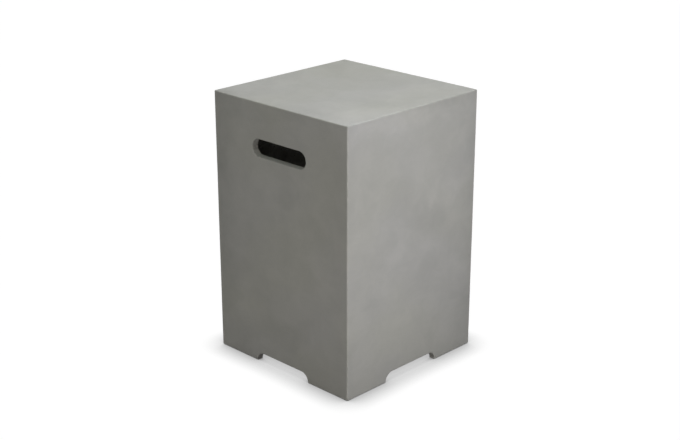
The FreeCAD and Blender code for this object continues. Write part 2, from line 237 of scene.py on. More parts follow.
# %% [markdown]
# The background is plain white. A white world would give that, but it would also flood the cover
# with light from all round. So the world is dim, and only what looks straight at it sees white:
# the camera, a reflection, or a view through glass. The Light Path node tells which ray comes.

# %% World
WORLD_LIGHT = 0.03


def seen_directly(tree):
    rays = tree.nodes.new("ShaderNodeLightPath").outputs
    eye_or_gloss = sums(tree, "MAXIMUM", rays["Is Camera Ray"], rays["Is Glossy Ray"])
    return sums(tree, "MAXIMUM", eye_or_gloss, rays["Is Transmission Ray"])


def mix_when_seen(tree, otherwise, seen):
    mix = tree.nodes.new("ShaderNodeMixShader")
    feed(tree, mix.inputs["Fac"], seen_directly(tree))
    feed(tree, mix.inputs[1], otherwise.outputs[0])
    feed(tree, mix.inputs[2], seen.outputs[0])
    return mix.outputs[0]


def light_world():
    world = bpy.data.worlds.new("studio")
    bpy.context.scene.world = world
    world.use_nodes = True
    tree = world.node_tree
    tree.nodes.clear()
    output = tree.nodes.new("ShaderNodeOutputWorld")
    dim = tree.nodes.new("ShaderNodeBackground")
    white = tree.nodes.new("ShaderNodeBackground")
    feed(tree, dim.inputs["Color"], WHITE)
    feed(tree, dim.inputs["Strength"], WORLD_LIGHT)
    feed(tree, white.inputs["Color"], WHITE)
    feed(tree, output.inputs["Surface"], mix_when_seen(tree, dim, white))


light_world()
bpy.context.scene.view_settings.view_transform = "Standard"
print("a dim world that the camera sees as white")

# %% [markdown]
# The floor is white to the eye and has no edge in sight. White paint under strong lamps would
# turn grey towards the edges, so nearly all of its white is a glow of its own. The glow fades
# within 60 mm of the cover's feet: an ambient occlusion node measures how much of the sky the
# cover hides from each spot nearby, and that gives the soft contact shade, dark at the legs and
# weaker at the notches. Under the cover, where no sky light comes, the glow also fades from the
# walls to the middle, which shows through the notches. To every ray that isn't seen directly the
# floor is a plain mid grey, so it lights the low part of the walls without washing them out.

# %% Floor
FLOOR_SIZE = 60
FLOOR_PAINT = (0.06, 0.06, 0.06, 1)
FLOOR_BOUNCE = (0.45, 0.45, 0.45, 1)
FLOOR_GLOW = 0.985
CONTACT_SHADE = 60 * MM
UNDER_GLOW = 0.04
UNDER_MIDDLE = 90 * MM


def glow_by_place(tree):
    split = tree.nodes.new("ShaderNodeSeparateXYZ")
    feed(tree, split.inputs[0], tree.nodes.new("ShaderNodeTexCoord").outputs["Object"])
    across = sums(tree, "ABSOLUTE", split.outputs["X"])
    deep = sums(tree, "ABSOLUTE", split.outputs["Y"])
    farther = sums(tree, "MAXIMUM", across, deep)
    return stretch(tree, farther, UNDER_MIDDLE, WIDTH / 2, UNDER_GLOW, FLOOR_GLOW, "LINEAR")


def make_floor_white():
    material = bpy.data.materials.new("floor_white")
    material.use_nodes = True
    tree = material.node_tree
    tree.nodes.clear()
    output = tree.nodes.new("ShaderNodeOutputMaterial")
    paint = tree.nodes.new("ShaderNodeBsdfDiffuse")
    bounce = tree.nodes.new("ShaderNodeBsdfDiffuse")
    shade = tree.nodes.new("ShaderNodeAmbientOcclusion")
    glow = tree.nodes.new("ShaderNodeEmission")
    white = tree.nodes.new("ShaderNodeAddShader")
    feed(tree, paint.inputs["Color"], FLOOR_PAINT)
    feed(tree, bounce.inputs["Color"], FLOOR_BOUNCE)
    feed(tree, shade.inputs["Distance"], CONTACT_SHADE)
    feed(tree, glow.inputs["Color"], shade.outputs["Color"])
    feed(tree, glow.inputs["Strength"], glow_by_place(tree))
    feed(tree, white.inputs[0], paint.outputs[0])
    feed(tree, white.inputs[1], glow.outputs[0])
    feed(tree, output.inputs["Surface"], mix_when_seen(tree, bounce, white))
    return material


def lay_floor():
    bpy.ops.mesh.primitive_plane_add(size=FLOOR_SIZE, location=(0, 0, 0))
    floor = bpy.context.object
    floor.name = "floor"
    floor.data.materials.append(make_floor_white())


lay_floor()
print("floor laid")

# %% [markdown]
# The pieces are modelled as by hand: a block is added at its size and place, and then some of its
# edges or faces are chosen and worked on in edit mode. A hand picks them by looking. A script
# could pick them by number, but numbers move when a size changes, so here they are picked by
# where they lie or which way they run.

# %% Modelling helpers
TOUCH = 0.01 * MM
QUARTER = math.pi / 2
ACROSS, DEEP, UP = 0, 1, 2


def deselect_all():
    if bpy.context.mode != "OBJECT":
        bpy.ops.object.mode_set(mode="OBJECT")
    bpy.ops.object.select_all(action="DESELECT")


def make_active(piece):
    deselect_all()
    piece.select_set(True)
    bpy.context.view_layer.objects.active = piece


def add_block(name, low, high):
    deselect_all()
    low = Vector(low)
    high = Vector(high)
    bpy.ops.mesh.primitive_cube_add(size=1, location=(low + high) / 2)
    block = bpy.context.object
    block.name = name
    block.data.name = name
    block.scale = high - low
    bpy.ops.object.transform_apply(location=True, rotation=True, scale=True)
    return block


def choose(piece, kind, wanted):
    make_active(piece)
    bpy.ops.object.mode_set(mode="EDIT")
    bpy.ops.mesh.select_mode(type=kind)
    bpy.ops.mesh.select_all(action="DESELECT")
    mesh = bmesh.from_edit_mesh(piece.data)
    parts = {"VERT": mesh.verts, "EDGE": mesh.edges, "FACE": mesh.faces}[kind]
    for part in parts:
        if wanted(part):
            part.select_set(True)
    mesh.select_flush_mode()
    bmesh.update_edit_mesh(piece.data)


def leave_edit_mode():
    bpy.ops.object.mode_set(mode="OBJECT")


def tell(piece):
    faces = len(piece.data.polygons)
    size = " x ".join(f"{side / MM:.1f}" for side in piece.dimensions)
    print(f"{piece.name}: {faces} faces, {size} mm")


print("modelling helpers ready")

# %% [markdown]
# Nearly every edge of a casting is rounded, because a sharp one would chip as it leaves the mould.
# A Bevel modifier could round all edges alike, but each kind of edge here has its own radius. So
# the edges are chosen by their direction or their level and bevelled in edit mode.

# %% Edges by direction or level
def other_axes(axis):
    return [other for other in (ACROSS, DEEP, UP) if other != axis]


def runs_along(axis):
    def wanted(edge):
        start, end = edge.verts
        return all(abs(start.co[other] - end.co[other]) < TOUCH for other in other_axes(axis))

    return wanted


def lies_at(axis, level):
    def wanted(part):
        return all(abs(corner.co[axis] - level) < TOUCH for corner in part.verts)

    return wanted


def anywhere(part):
    return True


def round_edges(piece, wanted, radius, steps):
    choose(piece, "EDGE", wanted)
    bpy.ops.mesh.bevel(offset=radius, offset_type="OFFSET", segments=steps, affect="EDGES")
    leave_edit_mode()


print("edges can be chosen and rounded")

# %% [markdown]
# A cover like this is cast upside down in a mould, and its long openings are left by bars that
# are screwed to the mould's wall: one for a slot, and one for a notch, of which only the upper
# half meets concrete. A bar's ends are half round, and where it meets the mould's wall it
# flares, which leaves the soft rounded edge round the opening. That edge could be bevelled after
# the opening is cut, but a bevel tears where a cut leaves uneven faces. So the bar gets the
# flare, along a quarter circle: each inset of its end face is one step.

# %% Bars that leave a slot and a notch
SLOT_LENGTH = 160 * MM
SLOT_WIDTH = 38 * MM
NOTCH_LENGTH = 160 * MM
NOTCH_RISE = 20 * MM
ARRIS = 2.5 * MM
BAR_OVERSHOOT = 2 * MM
NO_FLARE = 0
FLARE_STEPS = 5
END_STEPS = 14
NEARLY = 0.9995
MERGE_WITHIN = 0.1 * MM


def make_bar(name, length, width, flare, depth):
    face = -DEPTH / 2
    low = (-length / 2 - flare, face - BAR_OVERSHOOT, -width / 2 - flare)
    high = (length / 2 + flare, face, width / 2 + flare)
    bar = add_block(name, low, high)
    round_edges(bar, runs_along(DEEP), (width / 2 + flare) * NEARLY, END_STEPS)
    choose(bar, "VERT", anywhere)
    bpy.ops.mesh.remove_doubles(threshold=MERGE_WITHIN)
    choose(bar, "FACE", lies_at(DEEP, face))
    for step in range(FLARE_STEPS if flare else 0):
        here = QUARTER * step / FLARE_STEPS
        there = QUARTER * (step + 1) / FLARE_STEPS
        narrower = flare * (math.sin(there) - math.sin(here))
        deeper = flare * (math.cos(here) - math.cos(there))
        bpy.ops.mesh.inset(thickness=narrower, depth=deeper)
    rest = depth - flare
    bpy.ops.mesh.extrude_region_move(TRANSFORM_OT_translate={"value": (0, rest, 0)})
    leave_edit_mode()
    return bar


slot_bar = make_bar("slot_bar", SLOT_LENGTH, SLOT_WIDTH, ARRIS, WALL + BAR_OVERSHOOT)
notch_bar = make_bar("notch_bar", NOTCH_LENGTH, 2 * NOTCH_RISE, ARRIS, WALL + BAR_OVERSHOOT)
tell(slot_bar)
tell(notch_bar)

# %% [markdown]
# What repeats round the cover is modelled once and copied, each copy with its own mesh, turned
# about the middle and moved to its height. An opening could be cut face by face with a knife.
# A Boolean takes one closed form out of another in a single step and leaves clean rims.

# %% Copy, cut out and throw away
def copy_of(piece, name, turn=0.0, move=(0, 0, 0)):
    make_active(piece)
    bpy.ops.object.duplicate()
    copy = bpy.context.object
    copy.name = name
    copy.data.name = name
    copy.rotation_euler.z = turn
    copy.location = move
    bpy.ops.object.transform_apply(location=True, rotation=True, scale=True)
    return copy


def throw_away(piece):
    bpy.data.objects.remove(piece, do_unlink=True)


def apply_modifier(piece, kind, **settings):
    make_active(piece)
    modifier = piece.modifiers.new(kind.lower(), kind)
    for setting, value in settings.items():
        setattr(modifier, setting, value)
    bpy.ops.object.modifier_apply(modifier=modifier.name)


def cut_out(piece, cutter):
    apply_modifier(piece, "BOOLEAN", operation="DIFFERENCE", solver="EXACT", object=cutter)
    throw_away(cutter)


print("copies and cuts ready")

# %% [markdown]
# What the face coat encloses is also one form: a box 4 mm inside the outer faces, with a pocket
# behind every opening, because the coat turns in through the wall there and lines it. Solidify
# could give the outer skin a thickness, but not a lining of even depth. So the coat is cut out
# with this form, and the backing is made from the same form, and the two meet face to face.

# %% Form behind the face coat
SLOT_DROP = 100 * MM
SLOT_HEIGHT = TOP - SLOT_DROP
SLOT_TURNS = (0, math.pi)
NOTCH_TURNS = (0, QUARTER, math.pi, -QUARTER)
BELOW = 20 * MM
INNER_CORNER = 1.2 * MM
CORNER_STEPS = 8


def cut_with_bars(piece, for_slot, for_notch):
    for bar, height, turns in (
        (for_slot, SLOT_HEIGHT, SLOT_TURNS),
        (for_notch, LEG_FOOT, NOTCH_TURNS),
    ):
        for turn in turns:
            cut_out(piece, copy_of(bar, "cutter", turn, (0, 0, height)))
        throw_away(bar)


def make_form_behind_coat(name, bottom, pocket_depth):
    side = WIDTH / 2 - COAT
    form = add_block(name, (-side, -side, bottom), (side, side, TOP - COAT))
    round_edges(form, runs_along(UP), INNER_CORNER, CORNER_STEPS)
    lining = 2 * COAT
    bars = []
    for length, width in ((SLOT_LENGTH, SLOT_WIDTH), (NOTCH_LENGTH, 2 * NOTCH_RISE)):
        bars.append(make_bar("pocket", length + lining, width + lining, NO_FLARE, pocket_depth))
    cut_with_bars(form, *bars)
    return form


inside_of_coat = make_form_behind_coat("inside_of_coat", LEG_FOOT - BELOW, WALL)
tell(inside_of_coat)

# %% [markdown]
# A real cast face is never quite flat: the mould's boards sag between their battens by a few
# tenths of a millimetre, and a sprayed face swells far more. Sculpting could give that, but not
# the same way twice. A cloud texture that displaces the mesh does, if the mesh is fine enough.
# Long faces are therefore sliced first, by a bisect at each step of a grid. A swell goes one way
# or both ways, by the level of the texture that leaves the mesh where it is.

# %% Slices, swells and shading
ONE_WAY = 0.0
BOTH_WAYS = 0.5
SMOOTH_ANGLE = math.radians(32)


def arrow(axis, length=1.0):
    vector = Vector((0, 0, 0))
    vector[axis] = length
    return vector


def slice_between(piece, axis, low, high, step):
    count = int(round((high - low) / step))
    make_active(piece)
    bpy.ops.object.mode_set(mode="EDIT")
    for number in range(1, count):
        bpy.ops.mesh.select_all(action="SELECT")
        place = arrow(axis, low + number * (high - low) / count)
        bpy.ops.mesh.bisect(plane_co=place, plane_no=arrow(axis))
    leave_edit_mode()


def swell(piece, name, size, detail, strength, still_at, group=""):
    texture = bpy.data.textures.new(name, "CLOUDS")
    texture.noise_scale = size
    texture.noise_depth = detail
    apply_modifier(
        piece,
        "DISPLACE",
        texture=texture,
        texture_coords="LOCAL",
        strength=strength,
        mid_level=still_at,
        vertex_group=group,
    )


def smooth(piece):
    make_active(piece)
    bpy.ops.object.shade_smooth_by_angle(angle=SMOOTH_ANGLE)


def smooth_evenly(piece):
    smooth(piece)
    apply_modifier(piece, "WEIGHTED_NORMAL", keep_sharp=True)


print("slices and swells ready")

# %% [markdown]
# The face coat is the dense, smooth skin that the mould gives: the table top, four sides and the
# insides of the openings, all in one. It could be put together from five slabs, but a casting
# has no joints, so it starts as one block with rounded corners and edges, is sliced, and has its
# inside and its openings cut out. Only its outer side sags.

# %% Face coat
CORNER = 3 * MM
ARRIS_STEPS = 5
GRID = 20 * MM
SAG = 0.3 * MM
SAG_LENGTH = 110 * MM


def on_the_outside(vertex):
    side = WIDTH / 2 - COAT + TOUCH
    place = vertex.co
    return abs(place.x) > side or abs(place.y) > side or place.z > TOP - COAT + TOUCH


def make_coat():
    side = WIDTH / 2
    coat = add_block("face_coat_cast", (-side, -side, LEG_FOOT), (side, side, TOP))
    round_edges(coat, runs_along(UP), CORNER, CORNER_STEPS)
    round_edges(coat, lies_at(UP, TOP), ARRIS, ARRIS_STEPS)
    round_edges(coat, lies_at(UP, LEG_FOOT), ARRIS, ARRIS_STEPS)
    slice_between(coat, ACROSS, -side, side, GRID)
    slice_between(coat, DEEP, -side, side, GRID)
    slice_between(coat, UP, LEG_FOOT, TOP, GRID)
    cut_out(coat, inside_of_coat)
    cut_with_bars(coat, slot_bar, notch_bar)
    choose(coat, "VERT", on_the_outside)
    bpy.ops.object.vertex_group_assign_new()
    leave_edit_mode()
    outside = coat.vertex_groups[0].name
    swell(coat, "sagging_boards", SAG_LENGTH, detail=1, strength=-SAG, still_at=ONE_WAY, group=outside)
    smooth_evenly(coat)
    return coat


coat = make_coat()
tell(coat)

# %% [markdown]
# Under each leg a thin rubber pad is glued into a shallow seat, so the cover doesn't scratch the
# terrace and stands still. The pad is an angle that follows the leg. It could be cut from a
# square plate; two extruded arms are fewer steps and leave clean faces. Taller angles of the
# same outline will cut the seats.

# %% Angle under a leg
pad_low, pad_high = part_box("foot_pad_front_right")
PAD_OUTSIDE = pad_high.x
PAD_WIDTH = 8 * MM
PAD_REACH = pad_high.x - pad_low.x
PAD_OUTER_CORNER = 2.5 * MM
PAD_INNER_CORNER = 26.5 * MM
OUTER_CORNER_STEPS = 4
INNER_CORNER_STEPS = 10


def upright_edge_at(across, deep):
    rules = (runs_along(UP), lies_at(ACROSS, across), lies_at(DEEP, deep))

    def wanted(edge):
        return all(rule(edge) for rule in rules)

    return wanted


def side_of_corner(near):
    def wanted(face):
        return lies_at(DEEP, -near)(face) and face.calc_center_median().x > near

    return wanted


def make_angle(name, bottom, top):
    far = PAD_OUTSIDE
    near = far - PAD_WIDTH
    arm = PAD_REACH - PAD_WIDTH
    angle = add_block(name, (near, -far, bottom), (far, -near, top))
    choose(angle, "FACE", lies_at(ACROSS, near))
    bpy.ops.mesh.extrude_region_move(TRANSFORM_OT_translate={"value": (-arm, 0, 0)})
    choose(angle, "FACE", side_of_corner(near))
    bpy.ops.mesh.extrude_region_move(TRANSFORM_OT_translate={"value": (0, arm, 0)})
    round_edges(angle, upright_edge_at(far, -far), PAD_OUTER_CORNER, OUTER_CORNER_STEPS)
    round_edges(angle, upright_edge_at(near, -near), PAD_INNER_CORNER, INNER_CORNER_STEPS)
    return angle


first_pad = make_angle("foot_pad_pressed", 0, pad_high.z)
tell(first_pad)

# %% [markdown]
# The pad's underside is pressed with small cups, which grip the ground. A bump in the material
# could suggest them, but the mesh would stay flat. So both arms are sliced, and every second
# field is inset and pushed up. One pad is modelled, and the four are turned copies of it.

# %% Foot pads
PAD_EDGE = 0.35 * MM
PAD_EDGE_STEPS = 2
PAD_PITCH = 3 * MM
CUP_RIM = 0.7 * MM
CUP_TAPER = CUP_RIM / 4
CUP_DEPTH = 0.8 * MM
CORNERS = (
    ("front_right", 0),
    ("rear_right", QUARTER),
    ("rear_left", math.pi),
    ("front_left", -QUARTER),
)


def in_a_cup(face):
    if len(face.verts) != 4 or not lies_at(UP, 0)(face):
        return False
    centre = face.calc_center_median()
    along = max(PAD_OUTSIDE - centre.x, PAD_OUTSIDE + centre.y)
    return int(along / PAD_PITCH) % 2 == 1 and face.calc_area() > PAD_PITCH * PAD_PITCH


def press_pad(pad):
    choose(pad, "FACE", lies_at(UP, 0))
    bpy.ops.mesh.region_to_loop()
    bpy.ops.mesh.bevel(offset=PAD_EDGE, segments=PAD_EDGE_STEPS, affect="EDGES")
    leave_edit_mode()
    arm_end = PAD_OUTSIDE - PAD_REACH
    arm_root = PAD_OUTSIDE - PAD_WIDTH
    slice_between(pad, ACROSS, arm_end, arm_root, PAD_PITCH)
    slice_between(pad, DEEP, -arm_root, -arm_end, PAD_PITCH)
    choose(pad, "FACE", in_a_cup)
    bpy.ops.mesh.inset(use_individual=True, thickness=CUP_RIM, depth=0)
    bpy.ops.mesh.inset(use_individual=True, thickness=CUP_TAPER, depth=-CUP_DEPTH)
    leave_edit_mode()
    smooth_evenly(pad)


press_pad(first_pad)
foot_pads = {}
for corner, turn in CORNERS:
    foot_pads[corner] = copy_of(first_pad, f"foot_pad_{corner}_pressed", turn)
throw_away(first_pad)
tell(foot_pads["front_right"])

# %% [markdown]
# Between the face coat and the backing lies a net of alkali-proof glass in each flat wall, which
# holds the corners together if the concrete ever cracks. It is a laid net: flat rovings one way,
# and over them as many the other way. A net could be a plane with a pattern of holes in its
# material, but then it has no thickness. So one roving is modelled, and an Array repeats it.

# %% Rovings
NET_PITCH = 10 * MM
ROVING_WIDTH = 1.8 * MM
ROVING_EDGE = 0.12 * MM
ROVING_EDGE_STEPS = 2


def lay_rovings(name, low, high, along, spread, thin, layer):
    thickness = (high[thin] - low[thin]) / 2
    start = list(low)
    end = list(high)
    start[thin] = low[thin] + layer * thickness
    end[thin] = start[thin] + thickness
    end[spread] = start[spread] + ROVING_WIDTH
    rovings = add_block(name, start, end)
    round_edges(rovings, runs_along(along), ROVING_EDGE, ROVING_EDGE_STEPS)
    room = high[spread] - low[spread] - ROVING_WIDTH
    count = int(round(room / NET_PITCH)) + 1
    apply_modifier(
        rovings,
        "ARRAY",
        count=count,
        use_relative_offset=False,
        use_constant_offset=True,
        constant_offset_displace=arrow(spread, room / (count - 1)),
    )
    return rovings


print("rovings", ROVING_WIDTH / MM, "mm wide, at", NET_PITCH / MM, "mm")

# %% [markdown]
# The nets of the front and rear walls are cut round the slot with scissors, a finger's width from
# it. Leaving rovings out there would give ragged steps, so an island with round ends, made like
# the slot's own bar, is cut out of both layers before they are joined.

# %% Glass nets
NET_GAP = 12 * MM
SLOT_IN_NET = 2 * (COAT + NET_GAP)
NETS = (
    ("scrim_top", UP),
    ("scrim_front", DEEP),
    ("scrim_rear", DEEP),
    ("scrim_left", ACROSS),
    ("scrim_right", ACROSS),
)


def slot_island(node):
    turn = 0 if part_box(node)[0].y < 0 else math.pi
    length = SLOT_LENGTH + SLOT_IN_NET
    island = make_bar("island", length, SLOT_WIDTH + SLOT_IN_NET, NO_FLARE, WALL)
    turned = copy_of(island, "slot_island", turn, (0, 0, SLOT_HEIGHT))
    throw_away(island)
    return turned


def join(pieces):
    make_active(pieces[0])
    for piece in pieces:
        piece.select_set(True)
    bpy.ops.object.join()
    return pieces[0]


def make_net(node, thin):
    low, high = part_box(node)
    first, second = other_axes(thin)
    warp = lay_rovings(f"{node}_rovings", low, high, first, second, thin, layer=0)
    weft = lay_rovings("weft", low, high, second, first, thin, layer=1)
    if thin == DEEP:
        cut_out(warp, slot_island(node))
        cut_out(weft, slot_island(node))
    net = join([warp, weft])
    smooth(net)
    return net


nets = {node: make_net(node, thin) for node, thin in NETS}
tell(nets["scrim_top"])
tell(nets["scrim_front"])

# %% [markdown]
# The backing is glass-fibre concrete, sprayed into the face coat and pressed down with a ribbed
# roller. Its inner side never touches a mould, so it swells and sinks by a millimetre or so and
# keeps small dimples from the roller. The wall's inner faces could be displaced one by one, but
# they would part at the corners. So the hollow is modelled as a form of its own, remeshed to an
# even grid and displaced twice: a long swell, then the dimples.

# %% Hollow
HOLLOW_CORNER = 25 * MM
HOLLOW_COVE = 20 * MM
HOLLOW_STEPS = 6
HOLLOW_GRID = 5 * MM
SPRAY_SWELL = 1.6 * MM
SPRAY_LENGTH = 70 * MM
ROLLER_DIMPLE = 0.9 * MM
ROLLER_LENGTH = 11 * MM


def make_hollow():
    side = WIDTH / 2 - WALL
    bottom = LEG_FOOT - BELOW
    hollow = add_block("hollow", (-side, -side, bottom), (side, side, TOP - WALL))
    round_edges(hollow, runs_along(UP), HOLLOW_CORNER, HOLLOW_STEPS)
    round_edges(hollow, lies_at(UP, TOP - WALL), HOLLOW_COVE, HOLLOW_STEPS)
    apply_modifier(hollow, "REMESH", mode="VOXEL", voxel_size=HOLLOW_GRID)
    swell(hollow, "spray", SPRAY_LENGTH, detail=1, strength=SPRAY_SWELL, still_at=BOTH_WAYS)
    swell(hollow, "roller", ROLLER_LENGTH, detail=0, strength=ROLLER_DIMPLE, still_at=BOTH_WAYS)
    return hollow


hollow = make_hollow()
tell(hollow)

# %% [markdown]
# The backing fills all that is left between the face coat and the hollow. It could be drawn as
# walls of its own, but then they would have to be fitted to everything they touch. So the form
# behind the coat is used again, and the pads' seats, the nets and the hollow are cut out of it.

# %% Backing
POCKET_PAST_WALL = 6 * MM
SEAT_PAST_NET = 1 * MM


def net_seat(node, thin):
    low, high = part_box(node)
    outwards = arrow(thin, SEAT_PAST_NET)
    if low[thin] < 0:
        return add_block("net_seat", low - outwards, high)
    return add_block("net_seat", low, high + outwards)


def make_backing():
    backing = make_form_behind_coat("fibre_backing_spray", LEG_FOOT, WALL + POCKET_PAST_WALL)
    angle = make_angle("pad_seat", LEG_FOOT - BELOW, pad_high.z)
    for corner, turn in CORNERS:
        cut_out(backing, copy_of(angle, f"pad_seat_{corner}", turn))
    throw_away(angle)
    for node, thin in NETS:
        seat = net_seat(node, thin)
        if thin == DEEP:
            cut_out(seat, slot_island(node))
        cut_out(backing, seat)
    cut_out(backing, hollow)
    smooth_evenly(backing)
    return backing


backing = make_backing()
tell(backing)

# %% [markdown]
# The glass fibre in the backing is chopped into short strands as it is sprayed. Most are buried,
# but some lie on the surface. A particle system could strew them, but its hairs need a conversion
# and don't lie flat. A strand starts as a narrow strip instead, and a bend gives it its curve.
# Four strips, each bent differently, are enough for the eye.

# %% A chopped strand
STRAND_LENGTH = 34 * MM
STRAND_WIDTH = 0.9 * MM
STRAND_PARTS = 9
STRAND_BENDS = (-40, -15, 10, 35)


def make_strip(bend):
    deselect_all()
    bpy.ops.mesh.primitive_grid_add(x_subdivisions=STRAND_PARTS, y_subdivisions=1, size=1)
    strip = bpy.context.object
    strip.name = "strand"
    strip.scale = (STRAND_LENGTH, STRAND_WIDTH, 1)
    bpy.ops.object.transform_apply(location=True, rotation=True, scale=True)
    apply_modifier(
        strip, "SIMPLE_DEFORM", deform_method="BEND", deform_axis="Z", angle=math.radians(bend)
    )
    return strip


strips = [make_strip(bend) for bend in STRAND_BENDS]
tell(strips[0])

# %% [markdown]
# The strands fall where chance puts them, on the four walls and the ceiling of the hollow. The
# chance has a fixed seed, so that they lie the same way in every run. A strand is written as a
# matrix: it is turned in its own plane, tipped onto the wall, moved along it, and turned round to
# the wall that it belongs to. None is laid near an opening, where it would hang over the edge.

# %% Where the strands lie
STRANDS_A_WALL = 56
STRANDS_ON_CEILING = 44
STRAND_SEED = 7
STRAND_INSET = 4 * MM
KEEP_OFF = 14 * MM


def near_an_opening(turn, across, height):
    margin = KEEP_OFF + STRAND_LENGTH / 2
    by_slot = turn in SLOT_TURNS and abs(height - SLOT_HEIGHT) < SLOT_WIDTH / 2 + margin
    by_notch = height < LEG_FOOT + NOTCH_RISE + margin
    return abs(across) < SLOT_LENGTH / 2 + margin and (by_slot or by_notch)


def places_for_strands():
    chance = random.Random(STRAND_SEED)
    inside = WIDTH / 2 - WALL - STRAND_INSET
    spread = inside - HOLLOW_CORNER
    lowest = LEG_FOOT + STRAND_LENGTH
    highest = TOP - WALL - HOLLOW_COVE - STRAND_LENGTH
    places = []
    for turn in NOTCH_TURNS:
        wall = Matrix.Rotation(turn, 4, "Z")
        for _ in range(STRANDS_A_WALL):
            across = chance.uniform(-spread, spread)
            height = chance.uniform(lowest, highest)
            lean = chance.uniform(0, math.pi)
            if near_an_opening(turn, across, height):
                continue
            place = wall @ Matrix.Translation((across, -inside, height))
            places.append(place @ Matrix.Rotation(-QUARTER, 4, "X") @ Matrix.Rotation(lean, 4, "Z"))
    for _ in range(STRANDS_ON_CEILING):
        across = chance.uniform(-spread, spread)
        deep = chance.uniform(-spread, spread)
        lean = chance.uniform(0, math.pi)
        place = Matrix.Translation((across, deep, TOP - WALL - STRAND_INSET))
        places.append(place @ Matrix.Rotation(math.pi, 4, "X") @ Matrix.Rotation(lean, 4, "Z"))
    return places


strand_places = places_for_strands()
print(len(strand_places), "places for strands")

# %% [markdown]
# The roller presses the strands flat onto the rough surface. Each strip is copied to its places,
# the copies are joined, and a Shrinkwrap lays them on the backing just above its surface. Solidify
# gives them their thickness last, so that it stays even where a strand bends over a swell.

# %% Chopped strands
STRAND_LIFT = 0.05 * MM
STRAND_THICKNESS = 0.3 * MM


def strew_strands():
    copies = []
    for number, place in enumerate(strand_places):
        make_active(strips[number % len(strips)])
        bpy.ops.object.duplicate()
        bpy.context.object.matrix_world = place
        copies.append(bpy.context.object)
    for strip in strips:
        throw_away(strip)
    strewn = join(copies)
    strewn.name = "chopped_strands"
    bpy.ops.object.transform_apply(location=True, rotation=True, scale=True)
    return strewn


def press_strands(strewn):
    apply_modifier(
        strewn,
        "SHRINKWRAP",
        target=backing,
        wrap_method="NEAREST_SURFACEPOINT",
        wrap_mode="ABOVE_SURFACE",
        offset=STRAND_LIFT,
    )
    apply_modifier(strewn, "SOLIDIFY", thickness=STRAND_THICKNESS, offset=0)
    smooth(strewn)


strands = strew_strands()
press_strands(strands)
tell(strands)

# %% [markdown]
# Concrete looks plain from afar, but several small things make it real, and more than one finish
# needs them: clouds, sand, pinholes and rubbed edges. They could be wired again in each material,
# but then each change has to be made several times. So each is a node group with named sockets,
# built once. These helpers open a group and place the nodes that patterns are made of. All
# patterns read Object coordinates in metres, so they stay on the piece.

# %% Shader helpers
ORIGIN = (0, 0, 0)
MIDDLE_OF_NOISE = (0.5, 0.5, 0.5)


def open_group(name, inputs, outputs):
    group = bpy.data.node_groups.new(name, "ShaderNodeTree")
    for label, value in inputs.items():
        kind = "NodeSocketVector" if isinstance(value, tuple) else "NodeSocketFloat"
        socket = group.interface.new_socket(name=label, in_out="INPUT", socket_type=kind)
        socket.default_value = value
    for label in outputs:
        group.interface.new_socket(name=label, in_out="OUTPUT", socket_type="NodeSocketFloat")
    given = group.nodes.new("NodeGroupInput").outputs
    result = group.nodes.new("NodeGroupOutput").inputs
    return group, given, result


def add_group(tree, group, **values):
    node = tree.nodes.new("ShaderNodeGroup")
    node.node_tree = group
    for label, value in values.items():
        feed(tree, node.inputs[label.replace("_", " ")], value)
    return node


def vectors(tree, operation, first, second=ORIGIN):
    node = tree.nodes.new("ShaderNodeVectorMath")
    node.operation = operation
    feed(tree, node.inputs[0], first)
    feed(tree, node.inputs["Scale" if operation == "SCALE" else 1], second)
    return node.outputs["Value" if operation == "LENGTH" else "Vector"]


def in_units_of(tree, place, size):
    return vectors(tree, "SCALE", place, sums(tree, "DIVIDE", 1.0, size))


def noise(tree, place, detail, rough=0.5, seed=0.0):
    node = tree.nodes.new("ShaderNodeTexNoise")
    node.noise_dimensions = "4D"
    feed(tree, node.inputs["Vector"], place)
    feed(tree, node.inputs["W"], seed)
    feed(tree, node.inputs["Scale"], 1.0)
    feed(tree, node.inputs["Detail"], detail)
    feed(tree, node.inputs["Roughness"], rough)
    return node


def push_about(tree, place, by, strength):
    centred = vectors(tree, "SUBTRACT", by.outputs["Color"], MIDDLE_OF_NOISE)
    return vectors(tree, "ADD", place, vectors(tree, "SCALE", centred, strength))


print("shader helpers ready")

# %% [markdown]
# Cement dries darker or paler at different rates, which leaves soft clouds on a casting. Plain
# noise looks like smoke, even and round. Real clouds have drawn-out, swirled edges, because the
# wet mix flowed. So one noise pushes the place at which a second one is read. A slower patch and
# a drift come out beside the cloud, for broad differences and for the tint.

# %% Casting clouds
SWIRL_DETAIL = 2
SWIRL = 1.4
CLOUD_DETAIL = 7
CLOUD_ROUGHNESS = 0.66
SLOWER = 0.33
PATCH_DETAIL = 2
PATCH_SEED = 3.7
DRIFT_DETAIL = 1
DRIFT_SEED = 9.1


